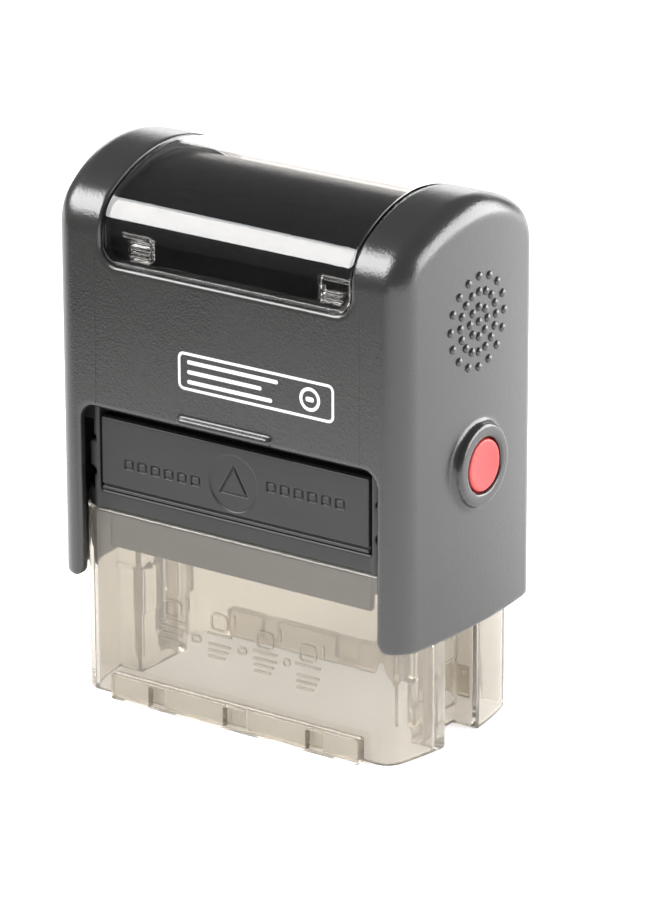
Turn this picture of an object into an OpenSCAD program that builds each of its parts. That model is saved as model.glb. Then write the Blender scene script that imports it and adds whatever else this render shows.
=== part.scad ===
// Self-inking stamp, standing on its clear foot with the cap up.
// X runs along the stamp's long side, the front faces -Y and +Z is up.
// The origin is on the table, under the middle of the stamp. Sizes are in mm.

/* [Overall] */
// Length of the cap over its bowed ends
cap_len = 62.5; // [50:0.5:90]
// Depth of the cap, front to back
cap_dep = 33.5; // [26:0.5:60]
// Height of the crest above the table
top_z = 80; // [65:0.5:110]
// How far the cap comes down when it is pressed
travel = 16.5; // [14:0.5:20]

/* [Cap] */
// Height of the cap's lower edge above the table
cap_low = 17.7; // [17:0.1:22]
// Thickness of the cap's walls
cap_wall = 1.6; // [1.2:0.1:2.4]
// How far each end bows outwards
cap_bow = 1.5; // [0.5:0.1:3]
// Radius of the upright corners
cap_corner = 3.3; // [2.4:0.1:5]
// Radius of the shoulders, in the end view
shoulder_r = 7; // [5:0.5:9]
// Height where the shoulders start
shoulder_z = 70; // [55:0.5:100]
// Half width of the openings in the front and back walls
mouth_half = 25.73; // [24.9:0.01:27]
// Top of those openings
mouth_top = 44.2; // [43:0.1:48]
// Radius of their top corners
mouth_r = 2.5; // [1:0.1:4]

/* [Window] */
// Half length of the clear window
win_half = 21.5; // [15:0.1:24]
// Height of the window's lower edge
win_low = 65.6; // [60:0.1:72]
// Radius of the window's corners
win_r = 3; // [1.5:0.1:5]
// Thickness of the clear sheet
win_sheet = 1.2; // [0.8:0.1:1.6]
// Depth of the recess that the window covers
win_deep = 2.4; // [2:0.1:3.5]
// Thickness of the floor of that recess
win_floor = 1.5; // [1:0.1:2]

/* [Side buttons] */
// Radius of the coloured disc
button_r = 4; // [3:0.1:5]
// Radius of the raised ring round it
ring_r = 6; // [5.5:0.1:7]
// How far the ring stands out of the end wall
ring_out = 1.25; // [0.5:0.05:2]
// Height of the button's centre
button_z = 41.8; // [38:0.1:50]
// How far a button can be pushed in
button_push = 1.2; // [0.5:0.1:1.2]
// Height of the middle of the grip dots
dots_z = 62.6; // [56:0.1:66]

/* [Clear foot] */
// Half length of the foot, over its bowed ends
foot_half = 29.05; // [27:0.05:29.05]
// Half depth of the foot
foot_dep = 14.93; // [13:0.01:14.93]
// Height of the foot
foot_h = 28.2; // [26:0.1:30]
// Thickness of the clear walls
foot_wall = 1.5; // [1:0.1:2]
// Half width of the upright channel in each end
chan_half = 4; // [3.8:0.1:4.5]
// Distance from the middle to the bottom of a channel
chan_x = 24.7; // [24.5:0.1:25]

/* [Ink cassette] */
// Half width of the cassette's front panel
panel_half = 23.2; // [22.8:0.1:23.3]
// Bottom of the panel
panel_low = 31.3; // [31.2:0.1:31.4]
// Top of the panel
panel_top = 42.2; // [40:0.1:42.3]

/* [Stamping plate] */
// Length of the rubber
die_len = 39; // [30:0.5:39]
// Width of the rubber
die_wid = 15; // [10:0.5:15]
// Height of the swivel axle, cap up
axle_z = 23.75; // [23.5:0.05:24]
// Distance from the axle to the rubber's face
die_reach = 7.25; // [7:0.05:7.25]
// Radius of the axle
axle_r = 1.5; // [1.2:0.05:1.5]

/* [Hidden] */
$fn = 96;
hy = cap_dep / 2;
hx = cap_len / 2;
foot_bow = 2.44;
foot_corner = 2.1;
// crest arc that runs smoothly into the shoulders; the arch is a hair wider than the plan
arch_half = hy + 0.03;
rise = top_z - shoulder_z;
crest_r = (arch_half * arch_half + rise * rise - 2 * arch_half * shoulder_r)
  / (2 * (rise - shoulder_r));
crest_z = top_z - crest_r;
// dimensions shared by the moving parts
chan_in = chan_x - foot_wall;
deck_z = 45;
deck_t = 2.5;
floor_top = 31.1;
beam_z = 73.9;
seat_t = 1.5;
leg_x = 25;
leg_t = 1.6;
leg_half = 3.4;
tray_half = 22.6;
tray_back = 12.9;
tray_low = 31.45;
tray_top = 41.95;
tray_wall = 1.2;
web_low = 36.1;
web_top = 37.3;
panel_t = 1.3;
block_half = 20;
cam_r = 6.6;
cam_t = 1.4;
stud_r = 1.2;
stud_y = 4.2;
stud_z = axle_z - travel / 2;
fit = 0.03;
run = 0.08;

// ---------- outlines ----------

function bow_r(h, b) = (h * h + b * b) / (2 * b);

// rounded rectangle whose two ends bow outwards; t shrinks it evenly
module bowed(half_x, half_y, bow, corner, t = 0) {
  r = bow_r(half_y, bow);
  yc = half_y - corner;
  xc = half_x - r + sqrt(pow(r - corner, 2) - yc * yc) + 0.15;
  intersection() {
    union() {
      square([2 * xc, 2 * (half_y - t)], center = true);
      square([2 * half_x + 2, 2 * yc], center = true);
      for (s = [-1, 1], q = [-1, 1]) translate([s * xc, q * yc]) circle(corner - t);
    }
    translate([half_x - r, 0]) circle(r - t, $fn = 360);
    translate([r - half_x, 0]) circle(r - t, $fn = 360);
  }
}

module cap_plan(t = 0) {
  bowed(hx, hy, cap_bow, cap_corner, t);
}

module foot_plan(t = 0) {
  bowed(foot_half, foot_dep, foot_bow, foot_corner, t);
}

// end view of the cap: upright walls, round shoulders, shallow crest
module arch(t = 0) {
  yc = arch_half - shoulder_r;
  k = (crest_r + shoulder_r) / (crest_r - shoulder_r);
  wy = yc * k;
  wz = crest_z + (shoulder_z - crest_z) * k;
  translate([t - arch_half, 0]) square([2 * (arch_half - t), shoulder_z]);
  for (q = [-1, 1]) translate([q * yc, shoulder_z]) circle(shoulder_r - t);
  intersection() {
    translate([0, crest_z]) circle(crest_r - t, $fn = 240);
    polygon([[-yc, shoulder_z - 5], [-yc, shoulder_z], [-wy, wz],
             [wy, wz], [yc, shoulder_z], [yc, shoulder_z - 5]]);
  }
}

// a YZ outline drawn out along X, centred
module along_x(len) {
  rotate([90, 0, 90]) translate([0, 0, -len / 2]) linear_extrude(len) children();
}

// an XZ outline drawn out along Y, centred
module along_y(len) {
  rotate([90, 0, 0]) translate([0, 0, -len / 2]) linear_extrude(len) children();
}

// rectangle from z = low to z = high with two rounded corners at the low or the high end
module soft_rect(half, low, high, r, top = true) {
  zc = top ? high - r : low + r;
  translate([-half, top ? low : zc]) square([2 * half, top ? zc - low : high - zc]);
  translate([-half + r, low]) square([2 * (half - r), high - low]);
  for (s = [-1, 1]) translate([s * (half - r), zc]) circle(r);
}

module box(x, y, z) {
  translate([x[0], y[0], z[0]]) cube([x[1] - x[0], y[1] - y[0], z[1] - z[0]]);
}

// cylinder on an X axis between two x positions
module rod_x(r, x0, x1) {
  translate([min(x0, x1), 0, 0]) rotate([0, 90, 0]) cylinder(r = r, h = abs(x1 - x0));
}

module both_ends() {
  for (s = [0, 1]) mirror([s, 0, 0]) children();
}

// ---------- cap ----------

module cap_outer() {
  intersection() {
    translate([0, 0, cap_low]) linear_extrude(top_z - cap_low + 1) cap_plan();
    along_x(cap_len + 4) arch();
    along_y(cap_dep + 4) soft_rect(hx, 0, top_z, 3.3);
  }
}

module cap_hollow() {
  difference() {
    intersection() {
      translate([0, 0, cap_low - 1]) linear_extrude(top_z) cap_plan(cap_wall);
      along_x(cap_len + 4) arch(cap_wall);
    }
    // frame and floor of the recess under the window
    difference() {
      box([-win_half - cap_wall, win_half + cap_wall], [-hy, hy], [win_low - cap_wall, top_z]);
      along_x(cap_len + 4) arch(win_deep + win_floor);
    }
  }
}

// layer that follows the arch between two depths, inside the window's outline
module arch_layer(d0, d1, half, low, r) {
  intersection() {
    difference() {
      along_x(2 * half + 2) arch(d0);
      along_x(2 * half + 4) arch(d1);
    }
    along_y(cap_dep + 4) soft_rect(half, low, top_z + 3, r, false);
  }
}

module button_ring() {
  translate([0, 0, button_z]) {
    rod_x(ring_r, hx - 2, hx + ring_out - 0.4);
    translate([hx + ring_out - 0.4, 0, 0]) rotate([0, 90, 0])
      cylinder(r1 = ring_r, r2 = ring_r - 0.4, h = 0.4);
  }
}

module button_hole() {
  translate([0, 0, button_z]) {
    rod_x(button_r + run, hx - 2, hx + ring_out + 1);
    rod_x(button_r + 1.25, hx - 4, hx + 0.05);
  }
}

module grip_dots() {
  rings = [[1, 0], [8, 2.15], [16, 4.35], [16, 6.55]];
  for (ring = rings, i = [0 : ring[0] - 1]) {
    a = 360 * i / ring[0];
    y = ring[1] * cos(a);
    x = hx - bow_r(hy, cap_bow) + sqrt(pow(bow_r(hy, cap_bow), 2) - y * y);
    translate([0, y, dots_z + ring[1] * sin(a)]) rod_x(0.55, x - 0.8, x + 0.35);
  }
}

module cap_shell() {
  color([0.09, 0.09, 0.1]) difference() {
    union() {
      difference() {
        cap_outer();
        cap_hollow();
      }
      both_ends() button_ring();
      both_ends() grip_dots();
      // finger ridge over each opening
      for (q = [-1, 1]) box([-8, 8], q > 0 ? [hy - 0.5, hy + 0.7] : [-hy - 0.7, 0.5 - hy],
                            [mouth_top + 0.4, mouth_top + 1.4]);
    }
    both_ends() button_hole();
    along_y(cap_dep + 6) soft_rect(mouth_half, cap_low - 1, mouth_top, mouth_r);
    difference() {
      along_y(cap_dep + 6) soft_rect(win_half, win_low, top_z + 3, win_r, false);
      along_x(cap_len) arch(win_deep);
    }
  }
}

module window_cover() {
  tabs = [[-18.2, -13.1, 71.7], [15.7, 20, 69.6]];
  color([0.8, 0.85, 0.88, 0.3]) {
    arch_layer(0.1, 0.1 + win_sheet, win_half - 0.15, win_low + 0.15, win_r - 0.15);
    // ribbed clip feet behind the lower edges
    for (s = [0, 1]) rotate([0, 0, 180 * s]) for (tab = tabs) intersection() {
      difference() {
        along_x(44) arch(0.1 + win_sheet);
        along_x(46) arch(win_deep - 0.1);
      }
      union() {
        box([tab[0], tab[1]], [-hy, 0], [67.5, 68]);
        for (i = [0 : floor((tab[2] - 67.5) / 1.05) - 1])
          box([tab[0], tab[1]], [-hy, 0], [68.1 + 1.05 * i, 68.7 + 1.05 * i]);
        box([tab[0], tab[0] + 0.6], [-hy, 0], [67.5, tab[2]]);
      }
    }
  }
}

// frame inside the cap: top beam, spring seat and two legs that carry the axle
module axle_bridge() {
  color([0.2, 0.2, 0.22]) {
    difference() {
      union() {
        box([-leg_x - 1, leg_x + 1], [-leg_half, leg_half], [beam_z, 75.7]);
        both_ends() {
          box([leg_x, leg_x + leg_t], [-leg_half, leg_half], [axle_z, 75.7]);
          box([leg_x + leg_t - 0.1, 29.2], [-leg_half, leg_half], [67, 75.7]);
          translate([0, 0, axle_z]) rod_x(leg_half, leg_x, leg_x + leg_t);
          rotate([90, 0, 0]) translate([0, 0, -1]) linear_extrude(2)
            polygon([[leg_x, 62], [leg_x, beam_z], [leg_x - 12, beam_z]]);
        }
        translate([0, 0, beam_z - seat_t]) cylinder(r = 6.2, h = seat_t + 0.5);
        translate([0, 0, 64.5]) cylinder(r = 3.2, h = beam_z - 64);
      }
      both_ends() translate([0, 0, axle_z]) rod_x(axle_r + run, leg_x - 1, leg_x + leg_t + 1);
      translate([0, 0, 63]) cylinder(r = 1.8, h = beam_z - 64);
    }
  }
}

// push button: disc, flange and a short stem inside
module side_button() {
  translate([0, 0, button_z]) {
    translate([hx + 0.9, 0, 0]) rotate([0, 90, 0])
      cylinder(r1 = button_r, r2 = button_r - 0.3, h = 0.3);
    rod_x(button_r, hx - 0.1, hx + 0.9);
    rod_x(button_r + 1.1, hx - 0.85, hx);
    rod_x(1.7, 28.6, hx - 0.8);
  }
}

module left_button() {
  color([0.86, 0.28, 0.27]) mirror([1, 0, 0]) side_button();
}

module right_button() {
  color([0.86, 0.28, 0.27]) side_button();
}

// ---------- springs ----------

// round wire wound on the Z axis: mean radius r, wire radius w
module coil(r, w, h, turns, steps, sides) {
  n = turns * steps;
  function at(i, j) =
    let (a = 360 * i / steps, b = 360 * j / sides, m = r + w * cos(b))
    [m * cos(a), m * sin(a), w + (h - 2 * w) * i / n + w * sin(b)];
  points = concat([for (i = [0 : n], j = [0 : sides - 1]) at(i, j)]);
  ends = [[for (j = [0 : sides - 1]) j],
          [for (j = [sides - 1 : -1 : 0]) n * sides + j]];
  skin = [for (i = [0 : n - 1], j = [0 : sides - 1])
    let (k = (j + 1) % sides)
    [i * sides + j, (i + 1) * sides + j, (i + 1) * sides + k, i * sides + k]];
  polyhedron(points, concat(ends, skin), convexity = 10);
}

module main_spring() {
  color([0.75, 0.76, 0.78]) translate([0, 0, deck_z + 0.05])
    coil(5, 0.45, beam_z - seat_t - deck_z - 0.1, 8, 18, 8);
}

module button_spring() {
  translate([leg_x + leg_t + 0.05, 0, button_z]) rotate([0, 90, 0])
    coil(2.6, 0.22, hx - 0.85 - leg_x - leg_t - 0.1, 4, 16, 6);
}

module left_button_spring() {
  color([0.75, 0.76, 0.78]) mirror([1, 0, 0]) button_spring();
}

module right_button_spring() {
  color([0.75, 0.76, 0.78]) button_spring();
}

// ---------- fixed lower part ----------

module end_channels(half, x0) {
  for (s = [-1, 1]) translate([s > 0 ? x0 : -x0 - 10, -half]) square([10, 2 * half]);
}

// bar along the foot's lower edge with shallow notches to line the stamp up
module foot_bar() {
  notches = [[-14.1, -11.3], [-0.9, 3.1], [13.5, 16.5]];
  difference() {
    box([-21, 22.5], [-16.7, -foot_dep + 0.1], [0, 3.9]);
    for (n = notches) box(n, [-17, -16], [0.7, 3.3]);
  }
}

module clear_foot() {
  color([0.86, 0.83, 0.76, 0.4]) difference() {
    union() {
      linear_extrude(foot_h) difference() {
        foot_plan();
        end_channels(chan_half, chan_x);
        difference() {
          foot_plan(foot_wall);
          end_channels(chan_half + foot_wall, chan_in);
        }
      }
      for (s = [0, 1]) rotate([0, 0, 180 * s]) foot_bar();
    }
    // slots for the axle in the walls behind the channels
    both_ends() box([chan_in - 0.5, chan_x + 0.5], [-1.75, 1.75], [5.4, foot_h + 1]);
  }
}

module flip_stud() {
  translate([0, stud_y, stud_z]) {
    rod_x(stud_r, block_half + 0.3, chan_in);
    rod_x(1.3, chan_in - 0.7, chan_in);
  }
}

module left_flip_stud() {
  color([0.3, 0.3, 0.32]) mirror([1, 0, 0]) flip_stud();
}

module right_flip_stud() {
  color([0.3, 0.3, 0.32]) flip_stud();
}

// black frame on the foot: floor ring, cassette bay, deck for the spring
module pad_housing() {
  bay = 23.6;
  out = chan_x;
  back = foot_dep;
  color([0.12, 0.12, 0.13]) {
    difference() {
      union() {
        // floor ring that lies on the foot's rim
        translate([0, 0, foot_h]) linear_extrude(floor_top - foot_h) difference() {
          foot_plan();
          end_channels(chan_half, chan_x);
          square([43.8, 22], center = true);
        }
        // two end walls, back wall and deck
        both_ends() box([bay, out], [-back, back], [foot_h, deck_z]);
        box([-out, out], [back - 1.5, back], [foot_h, deck_z]);
        box([-out, out], [-13.4, back], [deck_z - deck_t, deck_z]);
        // shoulders that guide the cap
        for (q = [-1, 1], s = [0, 1]) mirror([s, 0, 0])
          box([out - 0.1, 27.4], q > 0 ? [8, back - 1] : [1 - back, -8], [deck_z - 4, deck_z]);
        // collar round the foot of the spring
        translate([0, 0, deck_z - 0.5]) cylinder(r = 7.4, h = 2.5);
      }
      translate([0, 0, deck_z]) cylinder(r = 6, h = 4);
      // lightening notches in the front edges of the end walls
      both_ends() box([out - 0.4, out + 1], [-back - 1, -back + 3], [38.3, 39.1]);
    }
    // skirt inside the foot, and tongues that close the axle slots
    for (q = [-1, 1]) box([-22.8, 22.8], q > 0 ? [12.2, 13.33] : [-13.33, -12.2],
                          [22.3, foot_h + 0.1]);
    both_ends() box([chan_in + 0.05, chan_x - 0.05], [-1.6, 1.6], [25.55, foot_h + 0.1]);
  }
}

// ---------- ink cassette ----------

module three_side(r) {
  polygon([for (i = [0 : 2]) [r * cos(90 + 120 * i), r * sin(90 + 120 * i)]]);
}

// shallow marks on the panel: a ring, an arrow head and plain bars
module panel_marks() {
  difference() {
    circle(4.1);
    circle(3.85);
  }
  difference() {
    three_side(2.6);
    three_side(2.1);
  }
  for (s = [-1, 1], i = [0 : 5]) translate([s * (7.2 + 2.3 * i) - 0.8, -0.25]) square([1.6, 0.5]);
}

module cassette_tray() {
  front = -foot_dep;
  color([0.11, 0.11, 0.12]) {
    difference() {
      box([-panel_half, panel_half], [front, front + panel_t], [panel_low, panel_top]);
      translate([0, front + 0.2, (panel_low + panel_top) / 2 - 0.4]) rotate([90, 0, 0])
        linear_extrude(1) panel_marks();
      box([-panel_half - 1, panel_half + 1], [front - 1, front + 0.25], [panel_low + 0.5, panel_low + 0.8]);
    }
    difference() {
      box([-tray_half, tray_half], [front + panel_t - 0.1, tray_back], [tray_low, tray_top]);
      for (z = [[tray_low - 1, web_low], [web_top, tray_top + 1]])
        box([-tray_half + tray_wall, tray_half - tray_wall],
            [front + panel_t + tray_wall - 0.1, tray_back - tray_wall], z);
    }
  }
}

module ink_pad(low, high) {
  color([0.13, 0.12, 0.2])
    box([-tray_half + tray_wall + 0.1, tray_half - tray_wall - 0.1],
        [-foot_dep + panel_t + tray_wall, tray_back - tray_wall - 0.1], [low, high]);
}

module lower_ink_pad() {
  ink_pad(tray_low + 0.02, web_low);
}

module upper_ink_pad() {
  ink_pad(web_top, tray_top - 0.02);
}

// ---------- swivelling stamping plate ----------

module platen_block() {
  color([0.14, 0.14, 0.15]) translate([0, 0, axle_z]) difference() {
    union() {
      box([-block_half, block_half], [-7.4, 7.4], [1.4, 3.4]);
      box([-block_half, block_half], [-5.2, 5.2], [-2.6, 1.5]);
    }
    rod_x(axle_r + fit, -block_half - 1, block_half + 1);
    // hollow pockets underneath, between cross ribs
    for (i = [-2 : 2], q = [-1, 1]) translate([7.4 * i, q * 3.5, -3])
      translate([-2.9, -0.9, 0]) cube([5.8, 1.8, 3.6]);
  }
}

// position of the fixed stud as seen from the turning disc, at stroke s = 0..1
function stud_path(s) =
  let (z = travel * (s - 0.5), a = 180 * s)
  [stud_y * cos(a) + z * sin(a), z * cos(a) - stud_y * sin(a)];

module cam_disc() {
  color([0.16, 0.16, 0.17]) translate([block_half, 0, axle_z]) rotate([90, 0, 90])
    linear_extrude(cam_t) difference() {
      circle(cam_r);
      circle(axle_r + fit);
      for (i = [0 : 16]) translate(stud_path(0.08 + 0.84 * i / 16)) circle(stud_r + 0.28);
    }
}

module left_cam_disc() {
  mirror([1, 0, 0]) cam_disc();
}

module right_cam_disc() {
  cam_disc();
}

module platen_axle() {
  color([0.7, 0.71, 0.73]) translate([0, 0, axle_z]) rod_x(axle_r, -26.8, 26.8);
}

module die_cushion() {
  color([0.55, 0.55, 0.56]) translate([0, 0, axle_z])
    box([-die_len / 2, die_len / 2], [-die_wid / 2, die_wid / 2], [3.4, 5]);
}

// rubber sheet with a raised border and plain raised lines
module rubber_die() {
  face = axle_z + die_reach;
  color([0.6, 0.2, 0.18]) {
    box([-die_len / 2, die_len / 2], [-die_wid / 2, die_wid / 2], [axle_z + 5, face - 0.8]);
    difference() {
      box([-die_len / 2, die_len / 2], [-die_wid / 2, die_wid / 2], [face - 0.9, face]);
      box([0.8 - die_len / 2, die_len / 2 - 0.8], [0.8 - die_wid / 2, die_wid / 2 - 0.8],
          [face - 1, face + 1]);
    }
    for (i = [-1 : 1]) box([-14 + 2 * abs(i), 14 - 2 * abs(i)],
                           [4 * i - 0.8, 4 * i + 0.8], [face - 0.9, face]);
  }
}

cap_shell();
window_cover();
axle_bridge();
left_button();
right_button();
left_button_spring();
right_button_spring();
clear_foot();
pad_housing();
main_spring();
left_flip_stud();
right_flip_stud();
cassette_tray();
lower_ink_pad();
upper_ink_pad();
platen_block();
left_cam_disc();
right_cam_disc();
platen_axle();
die_cushion();
rubber_die();
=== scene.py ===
"""Looks of a self-inking stamp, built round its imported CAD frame.

Lengths are in millimetres until a mesh is made, which is in metres. Solids are written as distance fields.
"""

import math

import bpy
import numpy as np
from mathutils import Matrix, Vector


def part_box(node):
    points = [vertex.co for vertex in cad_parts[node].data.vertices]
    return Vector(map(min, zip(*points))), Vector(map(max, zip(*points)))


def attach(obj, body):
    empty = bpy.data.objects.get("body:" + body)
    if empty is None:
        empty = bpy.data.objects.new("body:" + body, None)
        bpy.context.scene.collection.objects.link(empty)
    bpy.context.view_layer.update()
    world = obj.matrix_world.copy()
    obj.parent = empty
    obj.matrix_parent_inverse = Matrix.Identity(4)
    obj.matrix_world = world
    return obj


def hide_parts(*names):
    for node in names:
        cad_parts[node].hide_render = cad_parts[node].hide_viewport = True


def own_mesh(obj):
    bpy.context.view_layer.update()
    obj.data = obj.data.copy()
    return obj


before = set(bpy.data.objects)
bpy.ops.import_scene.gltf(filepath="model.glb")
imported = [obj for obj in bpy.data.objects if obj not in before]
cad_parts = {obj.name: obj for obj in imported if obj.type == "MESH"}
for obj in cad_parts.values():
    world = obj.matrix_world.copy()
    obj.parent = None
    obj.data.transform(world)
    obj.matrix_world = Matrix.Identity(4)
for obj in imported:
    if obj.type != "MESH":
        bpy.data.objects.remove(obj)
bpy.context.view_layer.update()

MM = 0.001
COARSE = 1.0


def box_mm(node):
    """Lowest and highest corner of a CAD node, in mm."""
    low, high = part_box(node)
    return np.array(low) / MM, np.array(high) / MM


# ---------- sizes ----------

cap_low, cap_high = box_mm("cap_shell")
foot_low, foot_high = box_mm("clear_foot")

RING_OUT = 1.25
RIDGE_OUT = 0.7
CAP_HALF = cap_high[0] - RING_OUT
CAP_DEEP = cap_high[1] - RIDGE_OUT
CAP_TOP = cap_high[2]
CAP_FOOT = cap_low[2]
CAP_WALL = 1.6
CAP_BOW = 1.5
CAP_CORNER = 3.3
SHOULDER_R = 7.0
SHOULDER_Z = CAP_TOP - 10
MOUTH_HALF = 25.73
MOUTH_TOP = 44.2
WIN_HALF = 21.5
WIN_LOW = 65.6
WIN_R = 3.0
WIN_SHEET = 1.2
WIN_DEEP = 2.4
WIN_FLOOR = 1.5
CLIP_LOW = 67.0
CLIP_TOP = 70.4
CLIP_PITCH = 1.05
CLIP_RIB = 0.4
BUTTON_R = 4.0
BUTTON_Z = 41.8
BUTTON_PROUD = 1.2
RING_WALL = 2
POCKET_WALL = 1.25
FLANGE_OUT = 1.1
STEM_R = 1.7
DOTS_Z = 62.6
DOT_R = 0.66
DOT_RISE = 0.5
# how many grip dots stand on each circle, and the circle's radius
DOT_RINGS = ((1, 0), (8, 2.15), (16, 4.35), (16, 6.55))

FOOT_DEEP = 14.93
FOOT_HALF = 29.05
FOOT_TOP = foot_high[2]
FOOT_BOW = 2.44
FOOT_WALL = 1.5
CHANNEL_HALF = 4.0
CHANNEL_X = 24.7
BAR_X = (-21.0, 22.5)
BAR_OUT = foot_high[1]
BAR_TOP = 3.9
NOTCHES = ((-14.1, -11.3), (-0.9, 3.1), (13.5, 16.5))
AXLE_SLOT_HALF = 1.75
AXLE_SLOT_LOW = 5.4

FLOOR_TOP = 31.1
DECK_TOP = 45.0
DECK_T = 2.5
BACK_WALL = 1.5
COLLAR_R = 7.4
SPRING_POCKET_R = 6
SKIRT_LOW = 22.3
TONGUE_LOW = 25.55
PANEL_HALF = 23.2
PANEL_LOW = 31.3
PANEL_TOP = 42.2
PANEL_T = 1.3
DIMPLE_R = 4.2
DIMPLE_DEPTH = 0.16
BAR_MARK_DEPTH = 0.28
ARROW_DEPTH = 0.42
TRAY_HALF = 22.6
TRAY_BACK = 12.9
TRAY_LOW = 31.45
TRAY_TOP = 41.95
TRAY_WALL = 1.2
FELT_GAP = 1.3

MAIN_COIL_R = 5
MAIN_WIRE_R = 0.45
MAIN_TURNS = 9
SMALL_COIL_R = 2.6
SMALL_WIRE_R = 0.22
SMALL_TURNS = 5


# ---------- solids as distance fields ----------

def meet(a, b, r=0.0):
    """Where both solids are, with the edge between them rounded to radius r."""
    if not r:
        return np.maximum(a, b)
    return np.minimum(np.maximum(a, b), -r) + np.hypot(np.maximum(a + r, 0), np.maximum(b + r, 0))


def cut(a, b, r=0.0):
    """The first solid without the second."""
    return meet(a, -b, r)


def join(a, b, r=0.0):
    """Both solids as one, with a fillet of radius r between them."""
    return -meet(-a, -b, r)


def plate(u, v, u_span, v_span, r=0.0):
    """Rounded rectangle in the plane of u and v."""
    du = np.abs(u - sum(u_span) / 2) - (u_span[1] - u_span[0]) / 2 + r
    dv = np.abs(v - sum(v_span) / 2) - (v_span[1] - v_span[0]) / 2 + r
    return np.minimum(np.maximum(du, dv), 0) + np.hypot(np.maximum(du, 0), np.maximum(dv, 0)) - r


def block(x, y, z, x_span, y_span, z_span, r=0.0):
    """Box with rounded edges."""
    return meet(plate(x, y, x_span, y_span, r), plate(z, z, z_span, z_span), r)


def rod_x(x, y, z, centre, radius, x_span, r=0.0):
    """Round bar along X."""
    across = np.hypot(y - centre[0], z - centre[1]) - radius
    return meet(across, np.maximum(x_span[0] - x, x - x_span[1]), r)


def bow(x, y, half, deep, sag):
    """Distance to the bowed ends of a plan outline."""
    radius = (deep * deep + sag * sag) / (2 * sag)
    return np.hypot(np.abs(x) - (half - radius), y) - radius


def arch(y, z):
    """Distance to the cap's end outline: upright walls, round shoulders and a shallow crest."""
    rise = CAP_TOP - SHOULDER_Z
    crest_r = (CAP_DEEP**2 + rise**2 - 2 * CAP_DEEP * SHOULDER_R) / (2 * (rise - SHOULDER_R))
    crest_z = CAP_TOP - crest_r
    yc = CAP_DEEP - SHOULDER_R
    q = np.abs(y)
    outside = q * (SHOULDER_Z - crest_z) > (z - crest_z) * yc
    shoulder = np.hypot(q - yc, np.maximum(z - SHOULDER_Z, 0)) - SHOULDER_R
    wall = q - CAP_DEEP + 0 * z
    low = np.where(z < SHOULDER_Z, wall, shoulder)
    return np.where(outside, low, np.hypot(q, z - crest_z) - crest_r)


def cap_field(x, y, z):
    """Cap: hollow shell with button rings, finger ridges, front and rear mouths and the window's recess."""
    a = arch(y, z)
    b = bow(x, y, CAP_HALF, CAP_DEEP, CAP_BOW)
    side = np.abs(x)
    solid = meet(a, b, CAP_CORNER)
    hollow = meet(a + CAP_WALL, b + CAP_WALL, CAP_CORNER - CAP_WALL)
    tray = meet(meet(side - WIN_HALF - CAP_WALL, WIN_LOW - CAP_WALL - z), -(a + WIN_DEEP + WIN_FLOOR))
    solid = cut(solid, cut(hollow, tray, 0.3), 0.2)
    ring = rod_x(side, y, z, (0, BUTTON_Z), BUTTON_R + RING_WALL, (CAP_HALF - 2, CAP_HALF + RING_OUT), 0.55)
    solid = join(solid, ring, 0.8)
    ridge = block(x, np.abs(y), z, (-8, 8), (CAP_DEEP - 0.8, CAP_DEEP + RIDGE_OUT),
                  (MOUTH_TOP + 0.35, MOUTH_TOP + 1.45), 0.4)
    solid = join(solid, ridge, 0.2)
    # hole for the button, and the wider pocket behind it for the button's flange
    solid = cut(solid, rod_x(side, y, z, (0, BUTTON_Z), BUTTON_R + 0.08, (CAP_HALF - 2, 50)), 0.3)
    solid = cut(solid, rod_x(side, y, z, (0, BUTTON_Z), BUTTON_R + POCKET_WALL, (20, CAP_HALF + 0.05)))
    mouth = plate(x, z, (-MOUTH_HALF, MOUTH_HALF), (0, MOUTH_TOP), 2.5)
    solid = meet(solid, meet(-mouth, CAP_FOOT - z, 1.6), 0.4)
    pane = plate(x, z, (-WIN_HALF, WIN_HALF), (WIN_LOW, CAP_TOP + 20), WIN_R)
    return cut(solid, meet(pane, -(a + WIN_DEEP), 0.25), 0.32)


def window_field(x, y, z):
    """Arched clear sheet that lies flush in the recess, with its clip feet behind it."""
    a = arch(y, z)
    pane = plate(x, z, (0.15 - WIN_HALF, WIN_HALF - 0.15), (WIN_LOW + 0.15, CAP_TOP + 20), WIN_R - 0.15)
    sheet = meet(meet(a + 0.1, -(a + 0.1 + WIN_SHEET), 0.25), pane, 0.5)
    inner = meet(a + WIN_SHEET, -(a + WIN_DEEP - 0.1))
    # clip feet: an upright spine, short ribs out from it, and a thin line over the top
    for spine, turn, ribs in ((-13.1, -1, 3), (15.7, 1, 2)):
        u = turn * (np.where(y > 0, -x, x) - spine)
        foot = plate(u, z, (0, CLIP_RIB), (CLIP_LOW, CLIP_LOW + ribs * CLIP_PITCH))
        for i in range(ribs):
            low = CLIP_LOW + i * CLIP_PITCH
            foot = join(foot, plate(u, z, (0, 3.6), (low, low + CLIP_RIB)))
        over = np.maximum(np.abs(plate(u, z, (0.12, 40), (0, CLIP_TOP), 0.3)) - 0.12,
                          np.maximum(u - 5.0, CLIP_LOW - z))
        foot = np.minimum(foot, np.maximum(over, -(a + WIN_SHEET + 0.35)))
        sheet = join(sheet, meet(foot, inner, 0.08), 0.08)
    return sheet


def foot_plan(x, y, inset=0.0, corner=2.1):
    """Outline of the foot seen from above, with bowed ends, moved in by inset."""
    return meet(np.abs(y) - FOOT_DEEP + inset, bow(x, y, FOOT_HALF, FOOT_DEEP, FOOT_BOW) + inset, corner)


def channels(x, y, grow=0.0):
    """The upright channels in the two ends, or the walls round them."""
    return meet(np.abs(y) - CHANNEL_HALF - grow, CHANNEL_X - grow - np.abs(x), 0.3)


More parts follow.
